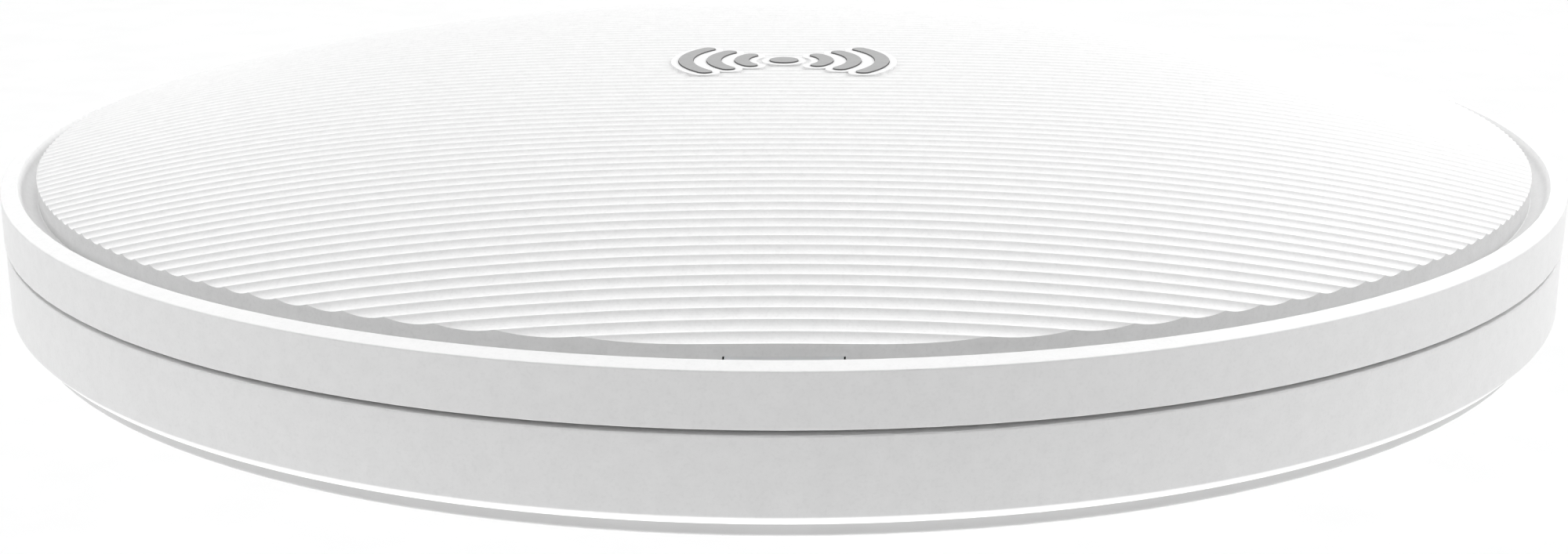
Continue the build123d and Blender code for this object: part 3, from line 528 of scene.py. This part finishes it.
def ridged_lens():
    """Closed solid: the ridged top, its side wall down to its foot and a flat underside."""
    rows = ridge_rows()
    vertices, top_rows = [], []
    for y in rows:
        half = math.sqrt(max(0.0, DOME_R**2 - y**2))
        drop = ridge_drop(y)
        if half < 1e-6:
            top_rows.append([len(vertices)] * (COLUMNS + 1))
            vertices.append((0.0, y, dome_height(DOME_R) - drop))
            continue
        row = []
        for i in range(COLUMNS + 1):
            x = half * math.sin(COLUMN_SPREAD * (2 * i / COLUMNS - 1)) / math.sin(COLUMN_SPREAD)
            row.append(len(vertices))
            vertices.append((x, y, dome_height(math.hypot(x, y)) - drop))
        top_rows.append(row)
    faces = []
    for low, high in zip(top_rows, top_rows[1:]):
        for i in range(COLUMNS):
            quad = [low[i], low[i + 1], high[i + 1], high[i]]
            face = [v for k, v in enumerate(quad) if v != quad[k - 1]]
            if len(face) > 2:
                faces.append(face)
    edge = [row[-1] for row in top_rows] + [row[0] for row in reversed(top_rows[1:-1])]
    foot = [len(vertices) + i for i in range(len(edge))]
    vertices += [(vertices[v][0], vertices[v][1], DOME_FOOT_Z) for v in edge]
    for i in range(len(edge)):
        j = (i + 1) % len(edge)
        faces.append([foot[i], foot[j], edge[j], edge[i]])
    faces.append(list(reversed(foot)))
    return make_object("dome_cover_ridged", vertices, faces)


def dome_cavity():
    """Closed solid of the space inside the shell."""
    stops = 24
    radii = [SKIRT_INNER_R * i / stops for i in range(stops + 1)]
    profile = [(r, dome_height(r) - DOME_WALL) for r in radii]
    low_z = DOME_FOOT_Z - CUT_MARGIN
    return lathe("dome_cavity", [*profile, (SKIRT_INNER_R, low_z), (0.0, low_z)])


def emblem_shapes(name, grow, z_low, z_high):
    """The emblem's dot and arcs as one closed solid, every shape grown by this much."""
    width = EMBLEM_STROKE + 2 * grow
    dot = [on_circle(EMBLEM_STROKE + grow, 360.0 * i / 48, EMBLEM_Y) for i in range(48)]
    shapes = prism(name, dot, z_low, z_high)
    for radius in EMBLEM_ARC_RADII:
        for middle in (0.0, 180.0):
            bar = prism("bar", arc_slot(radius, width, middle, EMBLEM_HALF_ARC), z_low, z_high)
            combine(shapes, bar, "UNION")
    return shapes


def hook(angle):
    """Snap hook inside the dome's side wall: a spring arm with a grip on its end."""
    arm = [
        (HOOK_INNER_R, HOOK_LOW_Z), (HOOK_GRIP_R, HOOK_LOW_Z), (HOOK_GRIP_R, HOOK_GRIP_Z),
        (HOOK_ARM_R, HOOK_GRIP_Z), (HOOK_ARM_R, HOOK_HIGH_Z), (HOOK_INNER_R, HOOK_HIGH_Z),
    ]
    return ring_piece("hook", arm, angle - HOOK_HALF_ANGLE, angle + HOOK_HALF_ANGLE, 6)


def foot_bead():
    """Bead round the dome's foot, broken at the light guide."""
    root_r, outer_r = DOME_R - BEAD_ROOT, DOME_R + BEAD
    low_z = BEAD_TOP_Z - BEAD_HEIGHT
    profile = [(root_r, low_z), (outer_r, low_z), (outer_r, BEAD_TOP_Z), (root_r, BEAD_TOP_Z + BEAD)]
    return ring_piece("bead", profile, -90.0 + BEAD_GAP, 270.0 - BEAD_GAP, 180)


def guide_window():
    """Cut through the front of the dome's side wall for the light guide."""
    half = GUIDE_HIGH.x + WINDOW_GAP
    front_y, back_y = -DOME_R - WINDOW_OUTSIDE, -DOME_R + WINDOW_DEPTH
    outline = [(-half, front_y), (half, front_y), (half, back_y), (-half, back_y)]
    return prism("window", outline, DOME_FOOT_Z - CUT_MARGIN, GUIDE_HIGH.z + WINDOW_TOP_GAP)


def dome_cover():
    """The whole cover: shell, snap hooks, foot bead, pads, emblem recess and window."""
    cover = ridged_lens()
    combine(cover, dome_cavity(), "DIFFERENCE")
    for angle in HOOK_ANGLES:
        combine(cover, hook(angle), "UNION")
    combine(cover, foot_bead(), "UNION")
    pad_top = RIM_Z + CROWN + PAD_RISE
    combine(cover, emblem_shapes("pads", PAD_MARGIN, pad_top - PAD_THICKNESS, pad_top), "UNION")
    recess_floor = EMBLEM_LOW.z - EMBLEM_FOOT_GAP
    combine(cover, emblem_shapes("recess", EMBLEM_GAP, recess_floor, pad_top + CUT_MARGIN), "DIFFERENCE")
    combine(cover, guide_window(), "DIFFERENCE")
    cover.data.shade_smooth()
    cover.data.set_sharp_from_angle(angle=SHARP_ANGLE)
    return cover


dome = dome_cover()
dome.data.materials.clear()
dome.data.materials.append(MATERIALS["dome_plastic"])
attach(dome, "housing")
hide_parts("dome_cover")


# ---- Lower housing: the CAD shape with its outer wall and bevelled lower edge turned in fine steps ----
def closed_copy(node, name):
    """New closed object with the shape of a CAD node."""
    source = bmesh.new()
    source.from_mesh(NODES[node].data)
    bmesh.ops.remove_doubles(source, verts=source.verts, dist=1e-7)
    source.verts.index_update()
    vertices = [v.co / MM for v in source.verts]
    faces = [[v.index for v in face.verts] for face in source.faces]
    source.free()
    return make_object(name, vertices, faces)


def turned_wall():
    """Thin closed ring over the outer wall, a hair outside the CAD surface."""
    inner_r, outer_r = HOUSING_R - SKIN_DEPTH, HOUSING_R + SKIN_OFFSET
    low_z, high_z = HOUSING_BOTTOM_Z + SKIN_LOW_GAP, HOUSING_TOP_Z - SKIN_TOP_GAP
    profile = [(inner_r, low_z), (outer_r, low_z), (outer_r, high_z), (inner_r, high_z)]
    return ring_piece("wall", profile, 0.0, 360.0, 360)


def bevel_cutter():
    """Closed ring round the outside of the bevel."""
    wall_r = HOUSING_R + SKIN_OFFSET
    bevel = [(wall_r - inset, HOUSING_BOTTOM_Z + rise) for inset, rise in LOWER_BEVEL]
    low_z, outer_r = HOUSING_BOTTOM_Z - BEVEL_MARGIN, wall_r + BEVEL_MARGIN
    outside = [(bevel[0][0], low_z), (outer_r, low_z), (outer_r, bevel[-1][1])]
    return ring_piece("cutter", [*reversed(bevel), *outside], 0.0, 360.0, 360)


def lower_housing():
    """The CAD's lower housing with a finely turned wall joined on and a bevel cut round its lower edge."""
    housing = closed_copy("lower_housing", "lower_housing_turned")
    combine(housing, turned_wall(), "UNION")
    combine(housing, bevel_cutter(), "DIFFERENCE")
    housing.data.shade_smooth()
    housing.data.set_sharp_from_angle(angle=SHARP_ANGLE)
    return housing


housing = lower_housing()
housing.data.materials.clear()
housing.data.materials.append(MATERIALS["housing_plastic"])
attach(housing, "housing")
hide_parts("lower_housing")


# ---- Latch spring: a copy of the CAD strip, attached to the bracket (the real strip flattens against the bracket's stop as the latch slides back) ----
spring = closed_copy("latch_spring", "latch_spring_strip")
spring.data.set_sharp_from_angle(angle=SHARP_ANGLE)
spring.data.materials.append(MATERIALS["spring_steel"])
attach(spring, "bracket")
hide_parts("latch_spring")
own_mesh(spring)


# ---- Stage: pale floor, studio light and the camera ----
def area_light(name, place, target, width, height, power):
    """Softbox at a place, turned to a target; places and sizes in metres, power in watts."""
    data = bpy.data.lights.new(name, "AREA")
    data.shape = "RECTANGLE"
    data.size = width
    data.size_y = height
    data.energy = power
    light = bpy.data.objects.new(name, data)
    light.visible_camera = False
    light.location = place
    light.rotation_euler = (Vector(target) - Vector(place)).to_track_quat("-Z", "Y").to_euler()
    bpy.context.scene.collection.objects.link(light)


def broad_light(name, source, spread, strength):
    """Even light from far off: the direction that it comes from, its width in degrees and its strength."""
    data = bpy.data.lights.new(name, "SUN")
    data.energy = strength
    data.angle = math.radians(spread)
    light = bpy.data.objects.new(name, data)
    light.rotation_euler = Vector(source).to_track_quat("Z", "Y").to_euler()
    bpy.context.scene.collection.objects.link(light)


def build_floor():
    """Wide pale floor well below the part."""
    half, z = FLOOR_HALF, -FLOOR_DROP
    corners = [(-half, -half, z), (half, -half, z), (half, half, z), (-half, half, z)]
    floor = make_object("floor", corners, [[0, 1, 2, 3]], False)
    n = Nodes("floor_paper")
    cloud = n.noise(120.0, detail=2.0)
    n.set(Base_Color=n.ramp(cloud, 0.91, 0.93), Roughness=0.95)
    floor.data.materials.append(n.material)


def build_light():
    """A soft light tent, dimmer in front, with broad lights all round and softboxes beside and below."""
    world = bpy.data.worlds.new("studio")
    world.use_nodes = True
    tree = world.node_tree
    background = tree.nodes["Background"]
    background.inputs["Color"].default_value = (1, 1, 1, 1)
    direction = tree.nodes.new("ShaderNodeTexCoord").outputs["Generated"]
    towards = tree.nodes.new("ShaderNodeVectorMath")
    towards.operation = "DOT_PRODUCT"
    towards.inputs[1].default_value = Vector(TENT_BRIGHT_SIDE).normalized()
    tree.links.new(direction, towards.inputs[0])
    fade = tree.nodes.new("ShaderNodeMapRange")
    fade.interpolation_type = "SMOOTHSTEP"
    for socket, value in zip(("From Min", "From Max", "To Min", "To Max"), TENT_FADE):
        fade.inputs[socket].default_value = value
    tree.links.new(towards.outputs["Value"], fade.inputs["Value"])
    tree.links.new(fade.outputs[0], background.inputs["Strength"])
    bpy.context.scene.world = world
    broad_light("overhead_light", (0.0, 0.36, 0.93), 50, 0.90)
    broad_light("front_light", (0.0, -0.95, 0.30), 60, 0.26)
    broad_light("left_light", (-0.90, 0.02, 0.43), 30, 1.0)
    broad_light("right_light", (0.86, 0.22, 0.45), 30, 1.15)
    area_light("right_softbox", (0.24, 0.17, 0.26), (0.04, 0, 0.03), 0.14, 0.14, 0.54)
    area_light("left_softbox", (-0.24, 0.17, 0.26), (-0.04, 0, 0.03), 0.14, 0.14, 0.29)
    area_light("lower_softbox", (0, 0, -0.56), (0, 0, 0), 0.5, 0.5, 1.75)


def build_camera():
    """The photo's camera: in front of the part, above its rim and tilted down."""
    data = bpy.data.cameras.new("camera")
    data.sensor_fit = "HORIZONTAL"
    data.angle = math.radians(FIELD_OF_VIEW)
    data.clip_start = 0.01
    camera = bpy.data.objects.new("camera", data)
    camera.location = (0, -CAMERA_SETBACK * MM, (RIM_Z + CAMERA_RISE) * MM)
    camera.rotation_euler = (math.radians(90 - CAMERA_TILT), 0, 0)
    bpy.context.scene.collection.objects.link(camera)
    bpy.context.scene.camera = camera


build_floor()
build_light()
build_camera()
bpy.context.scene.view_settings.view_transform = "Standard"
